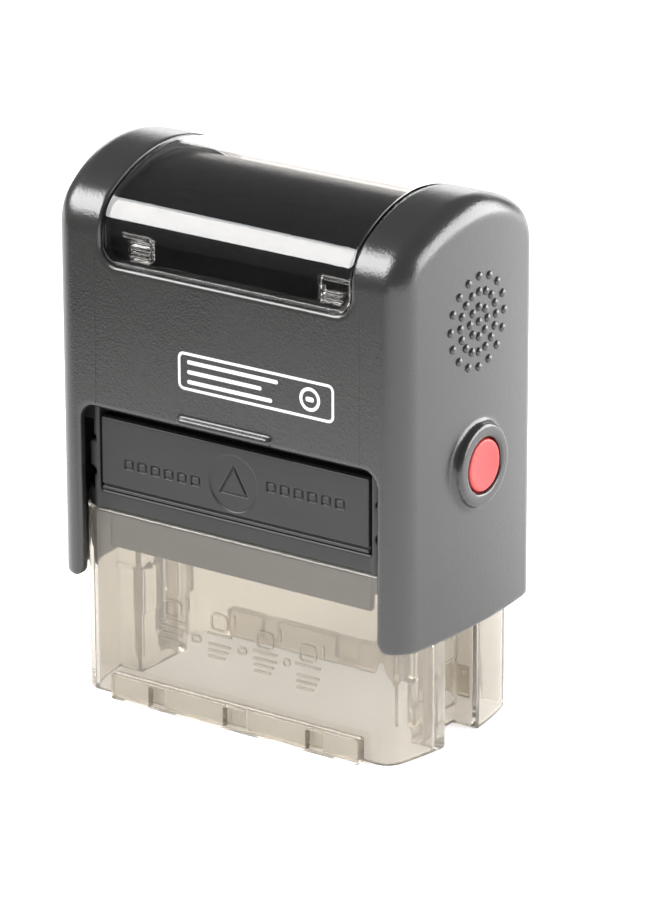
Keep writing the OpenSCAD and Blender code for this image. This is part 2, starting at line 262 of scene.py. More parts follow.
def foot_field(x, y, z):
    """Clear foot: an open box with a channel and an axle slot in each end."""
    side = np.abs(x)
    hollow = cut(foot_plan(x, y, FOOT_WALL, 0.9), channels(x, y, FOOT_WALL), 0.3)
    solid = cut(foot_plan(x, y), channels(x, y), 0.35)
    solid = cut(solid, hollow) + 0 * z
    # blocks and rails that stiffen the channels
    solid = join(solid, block(side, y, z, (22.4, 24.2), (-6.3, 6.3), (9.4, 16.4), 0.3), 0.2)
    solid = join(solid, block(side, y, z, (22.9, 24.2), (-5.9, 5.9), (2.4, 9.4), 0.3), 0.2)
    solid = join(solid, block(side, np.abs(y), z, (23.0, 27.6), (5.0, 6.0), (16.0, 16.6), 0.2), 0.2)
    solid = cut(solid, channels(x, y), 0.2)
    solid = meet(solid, np.maximum(-z, z - FOOT_TOP), 0.3)
    # slots for the axle
    slot = block(side, y, z, (20, 26), (-AXLE_SLOT_HALF, AXLE_SLOT_HALF), (AXLE_SLOT_LOW, 40), 0.4)
    return cut(solid, slot, 0.2)


def bar_field(x, y, z):
    """Bar along the foot of the front wall, with three slots and a bead on top."""
    bar = block(x, y, z, BAR_X, (-BAR_OUT, 0.02 - FOOT_DEEP), (0, BAR_TOP), 0.22)
    groove = block(x, y, z, (-50, 50), (0.75 - BAR_OUT, 1.1 - BAR_OUT), (BAR_TOP - 0.25, BAR_TOP + 1), 0.1)
    bar = cut(bar, groove, 0.1)
    for span in NOTCHES:
        bar = cut(bar, block(x, y, z, span, (-BAR_OUT - 2, 1.15 - BAR_OUT), (0.45, 3.4), 0.12), 0.1)
    return bar


def housing_field(x, y, z):
    """Black frame that carries the cassette, from the foot's rim up to the spring deck."""
    side = np.abs(x)
    far = np.abs(y)
    # set back a little, so the rim of the clear foot shows as a thin ledge
    ring = cut(foot_plan(x, y, 0.28), channels(x, y), 0.3)
    ring = cut(ring, plate(x, y, (-21.9, 21.9), (-11, 11), 0.6), 0.25)
    solid = meet(ring, np.maximum(FOOT_TOP - z, z - FLOOR_TOP), 0.25)
    wall = block(side, y, z, (23.6, CHANNEL_X), (-FOOT_DEEP, FOOT_DEEP), (FOOT_TOP, DECK_TOP), 0.3)
    # steps moulded in the front edge of each end wall
    for low, high in ((37.6, 39.1), (33.2, 34.2)):
        wall = cut(wall, block(side, y, z, (24.3, 26), (-16, -11.5), (low, high), 0.15), 0.15)
    wall = join(wall, block(side, y, z, (23.9, 25.3), (-FOOT_DEEP, -11), (34.4, 38.3), 0.25), 0.15)
    solid = join(solid, wall, 0.2)
    back = block(x, y, z, (-CHANNEL_X, CHANNEL_X), (FOOT_DEEP - BACK_WALL, FOOT_DEEP),
                 (FOOT_TOP, DECK_TOP), 0.3)
    solid = join(solid, back, 0.2)
    deck = block(x, y, z, (-CHANNEL_X, CHANNEL_X), (-13.4, FOOT_DEEP), (DECK_TOP - DECK_T, DECK_TOP), 0.3)
    solid = join(solid, deck, 0.3)
    # lugs at the four corners of the deck, and the spring's collar on top of it
    lug = block(side, far, z, (24.4, 27.4), (8, FOOT_DEEP - 1), (DECK_TOP - 4, DECK_TOP), 0.5)
    solid = join(solid, lug, 0.2)
    collar = cut(meet(np.hypot(x, y) - COLLAR_R, np.abs(z - DECK_TOP - 0.5) - 1.5, 0.3),
                 meet(np.hypot(x, y) - SPRING_POCKET_R, DECK_TOP - z))
    solid = join(solid, collar, 0.2)
    # skirt and tongues that reach down into the clear foot
    skirt = block(x, far, z, (-22.8, 22.8), (12.2, 13.2), (SKIRT_LOW, FOOT_TOP + 0.6), 0.2)
    tongue = block(side, y, z, (CHANNEL_X - FOOT_WALL + 0.05, CHANNEL_X - 0.05), (-1.6, 1.6),
                   (TONGUE_LOW, FOOT_TOP + 0.6), 0.2)
    return join(join(solid, skirt, 0.1), tongue, 0.1)


def panel_field(x, y, z):
    """Front panel of the cassette with its shallow engraving."""
    front = -FOOT_DEEP
    middle = (PANEL_LOW + PANEL_TOP) / 2
    solid = block(x, y, z, (-PANEL_HALF, PANEL_HALF), (front, front + PANEL_T), (PANEL_LOW, PANEL_TOP), 0.18)
    v = z - middle
    solid = cut(solid, meet(np.hypot(x, v) - DIMPLE_R, y - front - DIMPLE_DEPTH, 0.05), 0.06)
    # arrow head in the round recess
    head = np.maximum(np.abs(x) * math.cos(math.radians(30)) + (v + 0.2) * 0.5, -(v + 0.2)) - 1.35
    marks = np.maximum(np.abs(head) - 0.15, y - front - ARROW_DEPTH)
    # plain bars where a real one is lettered, the same both ways up
    for turn in (-1, 1):
        for i in range(6):
            at = turn * (6.6 + 2.35 * i)
            bar = plate(x, v, (at - 0.85, at + 0.85), (turn * 0.9 - 0.75, turn * 0.9 + 0.75), 0.3)
            marks = np.minimum(marks, np.maximum(np.abs(bar + 0.15) - 0.15, y - front - BAR_MARK_DEPTH))
    marks = np.minimum(marks, np.abs(v + 4.75) - 0.2)
    return cut(solid, meet(marks, y - front - 0.45), 0.06)


def tray_field(x, y, z):
    """Cassette behind the panel, with a well for the felt on each face."""
    front = -FOOT_DEEP + PANEL_T - 0.1
    solid = block(x, y, z, (-TRAY_HALF, TRAY_HALF), (front, TRAY_BACK), (TRAY_LOW, TRAY_TOP), 0.3)
    for span in ((0, 36.1), (37.3, 60)):
        well = block(x, y, z, (TRAY_WALL - TRAY_HALF, TRAY_HALF - TRAY_WALL),
                     (front + TRAY_WALL, TRAY_BACK - TRAY_WALL), span, 0.5)
        solid = cut(solid, well, 0.25)
    return solid


def felt_field(low, high):
    """Field of a felt pad with soft edges between the heights low and high."""
    def field(x, y, z):
        return block(x, y, z, (FELT_GAP - TRAY_HALF, TRAY_HALF - FELT_GAP),
                     (-FOOT_DEEP + PANEL_T + 1.2, TRAY_BACK - FELT_GAP), (low, high), 0.45)
    return field


def button_field(x, y, z):
    """Right-hand button with the flange that holds it in and the stem in its spring."""
    r = np.hypot(y, z - BUTTON_Z)
    # the face is very slightly dished for a fingertip
    face = x - (CAP_HALF + BUTTON_PROUD) + 0.16 * np.maximum(1 - (r / 3.2) ** 2, 0)
    disc = meet(r - BUTTON_R + 0.25, meet(face, CAP_HALF - 0.1 - x), 0.3)
    flange = rod_x(x, y, z, (0, BUTTON_Z), BUTTON_R + FLANGE_OUT, (CAP_HALF - 0.85, CAP_HALF), 0.2)
    stem = rod_x(x, y, z, (0, BUTTON_Z), STEM_R, (28.6, CAP_HALF - 0.5), 0.3)
    return join(disc, join(flange, stem, 0.3), 0.1)


# ---------- meshes ----------

def corners(cells, step):
    """Index of one corner of each cell."""
    return cells[:, 0] + step[0], cells[:, 1] + step[1], cells[:, 2] + step[2]


def skin(name, field, low, high, step, mirror=False):
    """Closed quad mesh round the solid where field(x, y, z) is below 0. low, high and step are in mm."""
    step = step * COARSE
    axes = [np.arange(a - 1.5 * step, b + 2.5 * step, step) for a, b in zip(low, high)]
    value = field(*np.meshgrid(*axes, indexing="ij", sparse=True))
    inside = value < 0
    # one point in each cell that the surface passes through
    n = [s - 1 for s in value.shape]
    steps = [(i, j, k) for i in (0, 1) for j in (0, 1) for k in (0, 1)]
    total = sum(inside[i:n[0] + i, j:n[1] + j, k:n[2] + k].astype(np.int8) for i, j, k in steps)
    cells = np.argwhere((total > 0) & (total < 8))
    number = np.full(n, -1, np.int32)
    number[tuple(cells.T)] = np.arange(len(cells))

    # the point is the middle of the places where the surface crosses the cell's edges
    place = np.zeros((len(cells), 3))
    hits = np.zeros(len(cells))
    for axis in range(3):
        unit = np.eye(3, dtype=int)[axis]
        for start in steps:
            if start[axis]:
                continue
            v0 = value[corners(cells, start)]
            v1 = value[corners(cells, np.array(start) + unit)]
            crossed = (v0 < 0) != (v1 < 0)
            share = np.where(crossed, v0 / np.where(crossed, v0 - v1, 1), 0)
            place += crossed[:, None] * (np.array(start) + share[:, None] * unit)
            hits += crossed
    points = np.stack([axes[a][cells[:, a]] for a in range(3)], 1) + step * place / hits[:, None]

    # one face for each grid edge that the surface crosses
    quads = []
    for axis in range(3):
        b, c = (axis + 1) % 3, (axis + 2) % 3
        first = inside.take(range(n[axis]), axis)
        change = first != inside.take(range(1, n[axis] + 1), axis)
        at = np.argwhere(change)
        at = at[(at[:, b] > 0) & (at[:, c] > 0) & (at[:, b] < n[b]) & (at[:, c] < n[c])]
        ring = []
        for db, dc in ((-1, -1), (0, -1), (0, 0), (-1, 0)):
            near = at.copy()
            near[:, b] += db
            near[:, c] += dc
            ring.append(number[tuple(near.T)])
        ring = np.stack(ring, 1)
        outward = first[tuple(at.T)]
        quads.append(np.where(outward[:, None], ring, ring[:, ::-1]))
    quads = np.concatenate(quads)

    points = settle(points, field, 0.45 * step)
    if mirror:
        points = points * (-1, 1, 1)
        quads = quads[:, ::-1]
    return mesh_object(name, points * MM, quads)


def settle(points, field, reach):
    """Moves each point straight onto the surface, by no more than reach."""
    h = 0.02
    for _ in range(2):
        x, y, z = points.T
        slope = np.stack([field(x + h, y, z) - field(x - h, y, z),
                          field(x, y + h, z) - field(x, y - h, z),
                          field(x, y, z + h) - field(x, y, z - h)], 1) / (2 * h)
        size = np.maximum((slope**2).sum(1), 0.05)
        move = -slope * (field(x, y, z) / size)[:, None]
        length = np.maximum(np.linalg.norm(move, axis=1), 1e-9)
        points = points + move * np.minimum(1, reach / length)[:, None]
    return points


def mesh_object(name, points, faces):
    """Smooth-shaded object from points in metres and faces that all have the same number of sides."""
    mesh = bpy.data.meshes.new(name)
    mesh.vertices.add(len(points))
    mesh.vertices.foreach_set("co", np.ascontiguousarray(points, np.float32).ravel())
    sides = faces.shape[1]
    mesh.loops.add(faces.size)
    mesh.loops.foreach_set("vertex_index", faces.astype(np.int32).ravel())
    mesh.polygons.add(len(faces))
    mesh.polygons.foreach_set("loop_start", np.arange(0, faces.size, sides, dtype=np.int32))
    mesh.update(calc_edges=True)
    mesh.validate()
    mesh.shade_smooth()
    obj = bpy.data.objects.new(name, mesh)
    bpy.context.scene.collection.objects.link(obj)
    return obj


def domes(name, places, radius, rise, rings=5, sides=16):
    """Low round bumps facing +X or -X. places are (x, y, z, side) of each foot's middle, in mm."""
    sunk = 0.05
    points, faces = [], []
    for x, y, z, side in places:
        first = len(points)
        for i in range(rings):
            lean = math.radians(90 * i / rings)
            for k in range(sides):
                turn = math.tau * k / sides
                out = radius * math.cos(lean)
                points.append((x + side * (rise * math.sin(lean) - sunk), y + side * out * math.cos(turn),
                               z + out * math.sin(turn)))
        foot = len(points)
        points.append((x - side * sunk, y, z))
        points.append((x + side * (rise - sunk), y, z))
        for i in range(rings - 1):
            for k in range(sides):
                here, there = (first + i * sides + j % sides for j in (k, k + 1))
                faces.append((here, there, there + sides, here + sides))
        # fans of four-sided faces close the foot and the tip
        for k in range(0, sides, 2):
            fan = [first + j % sides for j in (k, k + 1, k + 2)]
            faces.append((foot, *fan[::-1]))
            faces.append((*(j + (rings - 1) * sides for j in fan), foot + 1))
    return mesh_object(name, np.array(points) * MM, np.array(faces))


def flat_shape(name, loops, y_face, out, half_turn=False):
    """Thin upright shape facing -Y. loops are closed outlines of (x, z) in mm; an inner one is a hole."""
    curve = bpy.data.curves.new(name, "CURVE")
    curve.dimensions = "2D"
    curve.fill_mode = "BOTH"
    curve.extrude = out * MM / 2
    for loop in loops:
        line = curve.splines.new("POLY")
        line.points.add(len(loop) - 1)
        for point, (u, v) in zip(line.points, loop):
            point.co = (u * MM, v * MM, 0, 1)
        line.use_cyclic_u = True
    obj = bpy.data.objects.new(name, curve)
    bpy.context.scene.collection.objects.link(obj)
    obj.matrix_world = (Matrix.Rotation(math.pi if half_turn else 0, 4, "Z")
                        @ Matrix.Translation((0, (y_face - out / 2) * MM, 0))
                        @ Matrix.Rotation(math.radians(90), 4, "X"))
    return obj


def pill(x0, x1, z0, z1, r, steps=6):
    """Outline of a rounded rectangle."""
    loop = []
    centres = ((x1 - r, z1 - r), (x0 + r, z1 - r), (x0 + r, z0 + r), (x1 - r, z0 + r))
    for quarter, (cx, cz) in enumerate(centres):
        for i in range(steps + 1):
            turn = math.radians(90 * (quarter + i / steps))
            loop.append((cx + r * math.cos(turn), cz + r * math.sin(turn)))
    return loop


def ring_loop(x, z, radius, steps=40):
    """Outline of a circle."""
    turns = [math.tau * i / steps for i in range(steps)]
    return [(x + radius * math.cos(turn), z + radius * math.sin(turn)) for turn in turns]


def frame_loops(x0, x1, z0, z1, r, width):
    """Outer and inner outline of a rounded frame."""
    return [pill(x0, x1, z0, z1, r),
            pill(x0 + width, x1 - width, z0 + width, z1 - width, max(r - width, 0.05))]


def wire(name, points, radius):
    """Round wire through the points, in mm, as a mesh tube."""
    curve = bpy.data.curves.new(name, "CURVE")
    curve.dimensions = "3D"
    curve.bevel_depth = radius * MM
    curve.bevel_resolution = 4
    curve.use_fill_caps = True
    line = curve.splines.new("POLY")
    line.points.add(len(points) - 1)
    for point, place in zip(line.points, points):
        point.co = (*(p * MM for p in place), 1)
    obj = bpy.data.objects.new(name, curve)
    bpy.context.scene.collection.objects.link(obj)
    bpy.context.view_layer.update()
    mesh = bpy.data.meshes.new_from_object(obj.evaluated_get(bpy.context.evaluated_depsgraph_get()))
    bpy.data.objects.remove(obj)
    mesh.name = name
    mesh.shade_smooth()
    tube = bpy.data.objects.new(name, mesh)
    bpy.context.scene.collection.objects.link(tube)
    return tube


def coil_points(radius, low, high, turns, per_turn=28):
    """Points of a compression spring on +Z whose end turns lie flat."""
    n = int(turns * per_turn)
    dead = 1.0 / turns
    points = []
    for i in range(n + 1):
        share = i / n
        climb = min(max((share - dead) / (1 - 2 * dead), 0), 1)
        turn = math.tau * turns * share
        points.append((radius * math.cos(turn), radius * math.sin(turn), low + (high - low) * climb))
    return points


# ---------- materials ----------

class Wire:
    """A socket that can be added, multiplied and so on."""

    def __init__(self, finish, socket):
        self.finish = finish
        self.socket = socket

    def maths(self, operation, a, b, clamp=False):
        return self.finish.node("ShaderNodeMath", {"operation": operation, "use_clamp": clamp}, {0: a, 1: b})

    def __add__(self, other):
        return self.maths("ADD", self, other)

    __radd__ = __add__

    def __sub__(self, other):
        return self.maths("SUBTRACT", self, other)

    def __rsub__(self, other):
        return self.maths("SUBTRACT", other, self)

    def __mul__(self, other):
        return self.maths("MULTIPLY", self, other)

    __rmul__ = __mul__

    def clamped(self):
        return self.maths("ADD", self, 0.0, clamp=True)


class Finish:
    """A material with a Principled shader and short ways to feed it."""

    def __init__(self, name, **values):
        self.material = bpy.data.materials.new(name)
        self.material.use_nodes = True
        self.tree = self.material.node_tree
        self.shader = self.tree.nodes["Principled BSDF"]
        for socket, value in values.items():
            self.shader.inputs[socket.replace("_", " ")].default_value = value
        self.place = self.node("ShaderNodeTexCoord", out="Object")

    def node(self, kind, settings=None, inputs=None, out=0):
        """Adds a node. The settings are made first, then the sockets get their values or links."""
        made = self.tree.nodes.new(kind)
        for key, value in (settings or {}).items():
            setattr(made, key, value)
        for key, value in (inputs or {}).items():
            if isinstance(value, Wire):
                self.tree.links.new(value.socket, made.inputs[key])
            else:
                made.inputs[key].default_value = value
        return Wire(self, made.outputs[out])

    def feed(self, socket, value):
        self.tree.links.new(value.socket, self.shader.inputs[socket])

    def noise(self, size_mm, detail=3.0, roughness=0.5, where=None):
        """Noise from 0 to 1 whose blotches are about size_mm across."""
        return self.node("ShaderNodeTexNoise", None,
                         {"Vector": where or self.place, "Scale": 1000 / size_mm, "Detail": detail,
                          "Roughness": roughness})

    def stretched(self, x, y, z):
        """The surface's place, scaled along each axis."""
        return self.node("ShaderNodeVectorMath", {"operation": "MULTIPLY"}, {0: self.place, 1: (x, y, z)})

    def band(self, value, low, high):
        """0 below low, 1 above high."""
        return self.node("ShaderNodeMapRange", None,
                         {"Value": value, "From Min": low, "From Max": high})

    def blend(self, share, a, b):
        """Colour a where share is 0, colour b where it is 1."""
        return self.node("ShaderNodeMix", {"data_type": "RGBA"}, {0: share, 6: a, 7: b}, out=2)

    def edges(self, low=0.51, high=0.6):
        """1 on outer edges and 0 on flat ground."""
        point = self.node("ShaderNodeNewGeometry", out="Pointiness")
        return self.band(point, low, high)

    def bump(self, height, depth_mm, strength):
        """Normal of a relief depth_mm deep."""
        return self.node("ShaderNodeBump", None,
                         {"Height": height, "Distance": depth_mm * MM, "Strength": strength})


def textured_black():
    """Moulded shell with a fine spark-eroded grain, worn a little smoother on its edges."""
    m = Finish("spark_textured_black", Specular_IOR_Level=0.85)
    grain = m.noise(0.34, 2, 0.55)
    cloud = m.noise(9, 3)
    worn = m.edges(0.52, 0.62)
    dark, light = (0.025, 0.0243, 0.0237, 1), (0.05, 0.0488, 0.0476, 1)
    m.feed("Base Color", m.blend((worn * 0.5 + cloud * 0.25).clamped(), dark, light))
    m.feed("Roughness", 0.24 - worn * 0.03 + (cloud - 0.5) * 0.06)
    m.feed("Normal", m.bump(grain + 0.2 * m.noise(1.1, 2), 0.05, 0.65))
    return m.material


def painted_shade_black():
    """Glossy recess floor that shows through the window, painted far darker than the shell as shade in the
    recess.
    """
    m = Finish("recess_black_painted_shade", Specular_IOR_Level=0.1)
    cloud = m.noise(7, 3)
    # painted shade: a near-black base colour, much darker than the shell, for the shade in the window's
    # recess
    m.feed("Base Color", m.blend(cloud, (0.006, 0.006, 0.0065, 1), (0.012, 0.012, 0.013, 1)))
    m.feed("Roughness", 0.16 + 0.1 * cloud)
    m.feed("Normal", m.bump(cloud, 0.05, 0.3))
    return m.material


def smooth_black(name="moulded_black", shade=0.024):
    """Plain moulded plastic with faint flow marks."""
    m = Finish(name, Specular_IOR_Level=0.5)
    flow = m.noise(5, 3, where=m.stretched(0.35, 1, 1.6))
    worn = m.edges(0.53, 0.66)
    dark, light = (shade, shade, shade * 1.03, 1), (shade * 2.6, shade * 2.6, shade * 2.65, 1)
    m.feed("Base Color", m.blend((worn * 0.45 + flow * 0.3).clamped(), dark, light))
    m.feed("Roughness", 0.42 + (flow - 0.5) * 0.12)
    m.feed("Normal", m.bump(m.noise(0.5, 2), 0.012, 0.4))
    return m.material


def clear_window():
    """Polished clear sheet with faint ripples and hairline scratches."""
    m = Finish("polished_clear_sheet", Transmission_Weight=1.0, IOR=1.49)
    m.feed("Base Color", m.blend(m.noise(14, 2), (0.93, 0.91, 0.89, 1), (0.9, 0.88, 0.86, 1)))
    scratch = m.band(m.noise(0.6, 2, where=m.stretched(0.08, 1, 1)), 0.66, 0.74)
    m.feed("Roughness", 0.015 + scratch * 0.08)
    m.feed("Normal", m.bump(m.noise(7, 1), 0.02, 0.25))
    return m.material


def smoky_clear(name, tint):
    """Clear styrene with a warm grey tint and a soft inner haze. tint scales the colour of one wall."""
    m = Finish(name, Transmission_Weight=0.86, IOR=1.46)
    cloud = m.noise(11, 3)
    clear, hazed = (tint, tint * 0.944, tint * 0.85, 1), (tint * 0.92, tint * 0.863, tint * 0.762, 1)
    m.feed("Base Color", m.blend(cloud, clear, hazed))
    m.feed("Roughness", 0.02 + m.noise(3, 3) * 0.05)
    m.feed("Normal", m.bump(m.noise(6, 2), 0.03, 0.3))
    return m.material


def coral_red():
    """Moulded red plastic, a little paler on its rubbed edge."""
    m = Finish("coral_red_plastic", Specular_IOR_Level=0.5)
    cloud = m.noise(3, 3)
    worn = m.edges(0.52, 0.62)
    deep, pale = (0.52, 0.04, 0.04, 1), (0.66, 0.085, 0.08, 1)
    m.feed("Base Color", m.blend((cloud * 0.4 + worn * 0.5).clamped(), deep, pale))
    m.feed("Roughness", 0.36 + (cloud - 0.5) * 0.14)
    m.feed("Normal", m.bump(m.noise(0.35, 2), 0.012, 0.5))
    return m.material


def drawn_steel(name="drawn_spring_wire", shade=0.52):
    """Steel with fine lines along the way it was drawn."""
    m = Finish(name)
    line = m.noise(0.5, 2, where=m.stretched(1, 1, 6))
    bright, dull = (shade, shade, shade * 1.02, 1), (shade * 0.7, shade * 0.7, shade * 0.73, 1)
    m.feed("Base Color", m.blend(line, bright, dull))
    m.feed("Metallic", 0.94 + 0.06 * line)
    m.feed("Roughness", 0.24 + line * 0.2)
    m.feed("Normal", m.bump(line, 0.004, 0.4))
    return m.material


def wet_felt():
    """Ink-soaked felt: short matted fibres with wetter, glossier blotches."""
    m = Finish("inked_felt")
    fibre = m.noise(0.35, 4, 0.7, where=m.stretched(1, 2.2, 1))
    wet = m.band(m.noise(6, 3), 0.4, 0.65)
    soaked, dry = (0.008, 0.008, 0.016, 1), (0.045, 0.045, 0.075, 1)
    m.feed("Base Color", m.blend((fibre * 0.7 + (1 - wet) * 0.3).clamped(), soaked, dry))
    m.feed("Roughness", 0.85 - wet * 0.4)
    m.feed("Normal", m.bump(fibre, 0.12, 0.9))
    return m.material


def foam_grey():
    """Closed-cell foam."""
    m = Finish("closed_cell_foam")
    cell_mm = 0.45
    cell = m.node("ShaderNodeTexVoronoi", None, {"Vector": m.place, "Scale": 1000 / cell_mm})
    m.feed("Base Color", m.blend(cell, (0.3, 0.3, 0.31, 1), (0.42, 0.42, 0.43, 1)))
    m.feed("Roughness", 0.8 + 0.15 * m.noise(2))
    m.feed("Normal", m.bump(cell, 0.08, 0.7))
    return m.material


def engraved_rubber():
    """Laser-cut rubber, darker and shinier where ink has stayed on the raised lines."""
    m = Finish("engraved_rubber", Specular_IOR_Level=0.4)
    height = m.node("ShaderNodeSeparateXYZ", None, {0: m.place}, out=2)
    inked = m.band(height, 30.6 * MM, 30.95 * MM)
    cloud = m.noise(2.5, 3)
    clean, inky = (0.36, 0.085, 0.06, 1), (0.03, 0.03, 0.06, 1)
    m.feed("Base Color", m.blend((inked * (0.6 + 0.4 * cloud)).clamped(), clean, inky))
    m.feed("Roughness", 0.6 - 0.25 * inked + 0.15 * (cloud - 0.5))
    m.feed("Normal", m.bump(m.noise(0.3, 2, where=m.stretched(1, 4, 1)), 0.03, 0.6))
    return m.material


def pad_print():
    """Opaque white ink laid on the grained shell, thin in places."""
    m = Finish("white_print_ink")
    thin = m.noise(0.4, 3)
    m.feed("Base Color", m.blend(m.band(thin, 0.55, 0.8), (0.86, 0.86, 0.85, 1), (0.62, 0.62, 0.62, 1)))
    m.feed("Roughness", 0.45 + 0.2 * thin)
    m.feed("Normal", m.bump(m.noise(0.28, 2), 0.02, 0.5))
    return m.material


SHELL = textured_black()
# darker black for the window's recess: painted shade
RECESS_PAINTED_SHADE = painted_shade_black()
MOULDED = smooth_black()
INNER = smooth_black("inner_black", 0.03)
SHEET = clear_window()
STYRENE = smoky_clear("smoky_clear_styrene", 0.69)
# lighter copy of the same clear styrene: painted light that brightens the foot bars and raised drawings
STYRENE_PAINTED_LIGHT = smoky_clear("smoky_clear_styrene_painted_light", 0.88)
CORAL = coral_red()
SPRING = drawn_steel()
AXLE = drawn_steel("ground_axle", 0.6)
FELT = wet_felt()
FOAM = foam_grey()
RUBBER = engraved_rubber()
PRINT = pad_print()


# ---------- pieces ----------

def finish_piece(obj, material, body, slot, *nodes):
    """Gives a new piece its finish and its place in the frame."""
    obj.data.materials.clear()
    obj.data.materials.append(material)
    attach(obj, body)
    if nodes:
        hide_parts(*nodes)
    return obj


def dress_cad(node, material, edge_mm=0.0):
    """Keeps a CAD node's own shape, with a finish and softened edges."""
    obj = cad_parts[node]
    for slot in obj.material_slots:
        slot.material = material
    if edge_mm:
        bevel = obj.modifiers.new("soft_edges", "BEVEL")
        bevel.width = edge_mm * MM
        bevel.segments = 2
        bevel.limit_method = "ANGLE"
        bevel.angle_limit = math.radians(35)
        bevel.harden_normals = True
    return obj


def paint_recess_shade(shell):
    """Gives the faces of the recess under the window their glossy black with painted shade."""
    mesh = shell.data
    mesh.materials.append(RECESS_PAINTED_SHADE)
    middle = np.empty(len(mesh.polygons) * 3, np.float32)
    mesh.polygons.foreach_get("center", middle)
    x, y, z = middle.reshape(-1, 3).T / MM
    a = arch(y, z)
    deep = (a < -0.9) & (a > -WIN_DEEP - 0.6) & (np.abs(x) < WIN_HALF + 0.15) & (z > WIN_LOW - 0.2)
    mesh.polygons.foreach_set("material_index", deep.astype(np.int32))


def build_cap():
    """Cap with its grip dots, parting lines, window and buttons."""
    shell = skin("cap_shell_skin", cap_field, (-cap_high[0], -cap_high[1], CAP_FOOT), cap_high, step=0.42)
    finish_piece(shell, SHELL, "cap", "black_textured_plastic", "cap_shell")
    # the recess faces get the darker black, which is painted shade
    paint_recess_shade(shell)
    spots = []
    for side in (-1, 1):
        for count, radius in DOT_RINGS:
            for i in range(count):
                turn = math.tau * i / count
                y, z = radius * math.cos(turn), DOTS_Z + radius * math.sin(turn)
                spots.append((side * (CAP_HALF - CAP_BOW * (y / CAP_DEEP) ** 2), y, z, side))
    finish_piece(domes("grip_dots", spots, DOT_R, DOT_RISE), SHELL, "cap", "black_textured_plastic")
    line_x, line_half = 22.75, 0.07
    for half_turn in (False, True):
        seams = [pill(x - line_half, x + line_half, MOUTH_TOP + 0.5, WIN_LOW + 1.5, 0.05)
                 for x in (-line_x, line_x)]
        lines = flat_shape("parting_lines", seams, -CAP_DEEP + 0.02, 0.06, half_turn)
        finish_piece(lines, SHELL, "cap", "black_textured_plastic")
    low, high = box_mm("window_cover")
    window = skin("window_skin", window_field, low, high, step=0.22)
    finish_piece(window, SHEET, "window", "clear_window", "window_cover")
    for side, flip in (("left", True), ("right", False)):
        low, high = box_mm("right_button")
        button = skin(f"{side}_button_skin", button_field, low, high, step=0.2, mirror=flip)
        finish_piece(button, CORAL, f"{side}_button", "red_plastic", f"{side}_button")
    dress_cad("axle_bridge", INNER, edge_mm=0.25)


def build_print():
    """A plain picture of a stamped note: a frame, three lines of writing and a round seal."""
    face = -CAP_DEEP - 0.01
    loops = frame_loops(-8.0, 18.7, 49.9, 55.5, 1.0, 0.42)
    first_line, line_gap, line_start, line_half = 54.1, 1.45, -6.4, 0.3
    for i, end in enumerate((9.2, 6.4, 8.2)):
        z = first_line - line_gap * i
        loops.append(pill(line_start, end, z - line_half, z + line_half, 0.28))
    seal_x, seal_z = 14.6, 52.7
    loops += [ring_loop(seal_x, seal_z, 1.75), ring_loop(seal_x, seal_z, 1.25),
              pill(13.9, 15.3, 52.35, 53.05, 0.3)]
    finish_piece(flat_shape("front_print", loops, face, 0.03), PRINT, "cap", "white_print")


def build_foot():
    """Clear foot with its bars and raised drawings, the housing above it and the two studs."""
    foot = skin("clear_foot_skin", foot_field, foot_low, foot_high, step=0.36)
    finish_piece(foot, STYRENE, "base", "clear_smoke_plastic", "clear_foot")
    bar = skin("front_foot_bar", bar_field, (BAR_X[0], -BAR_OUT, 0), (BAR_X[1], -FOOT_DEEP, BAR_TOP),
               step=0.19)
    # the bar gets the lighter styrene copy, which is painted light
    finish_piece(bar, STYRENE_PAINTED_LIGHT, "base", "clear_smoke_plastic")
    # the same bar stands on the back, turned half round
    twin = bpy.data.objects.new("rear_foot_bar", bar.data.copy())
    bpy.context.scene.collection.objects.link(twin)
    twin.matrix_world = Matrix.Rotation(math.pi, 4, "Z")
    # the rear bar also gets the painted-light copy of the styrene
    finish_piece(twin, STYRENE_PAINTED_LIGHT, "base", "clear_smoke_plastic")
    # raised drawings on the front wall: a small stamp over its printed lines, four times in a row
    face = -FOOT_DEEP + 0.05
    marks = []
    for i, (x, z) in enumerate(((-10.8, 13.4), (-2.6, 12.6), (5.4, 12.2), (12.8, 11.4))):
        lift = 0.5 * (i % 2)
        marks += frame_loops(x - 1.5, x + 1.5, z + 0.9 + lift, z + 3.6 + lift, 0.8, 0.26)
        marks.append(pill(x - 2.2, x + 2.2, z + 0.2 + lift, z + 0.5 + lift, 0.12))
        for k in range(3):
            marks.append(pill(x - 2.0, x + 2.0 - 0.5 * k, z - 0.9 - 0.95 * k, z - 0.6 - 0.95 * k, 0.12))
        marks.append(pill(x + 2.5, x + 2.8, z + 2.6, z + 4.4, 0.12))
    for x0, x1 in ((-7.6, -5.8), (0.5, 2.2), (8.5, 9.8)):
        marks += frame_loops(x0, x1, 11.4, 12.6, 0.5, 0.24)
    # the raised drawings get the lighter styrene copy, which is painted light
    finish_piece(flat_shape("foot_hint_marks", marks, face, 0.22), STYRENE_PAINTED_LIGHT, "base", "clear_smoke_plastic")
    low, high = box_mm("pad_housing")
    housing = skin("pad_housing_skin", housing_field, low, high, step=0.36)
    finish_piece(housing, MOULDED, "base", "black_smooth_plastic", "pad_housing")
    for side in ("left", "right"):
        dress_cad(f"{side}_flip_stud", STYRENE, edge_mm=0.15)


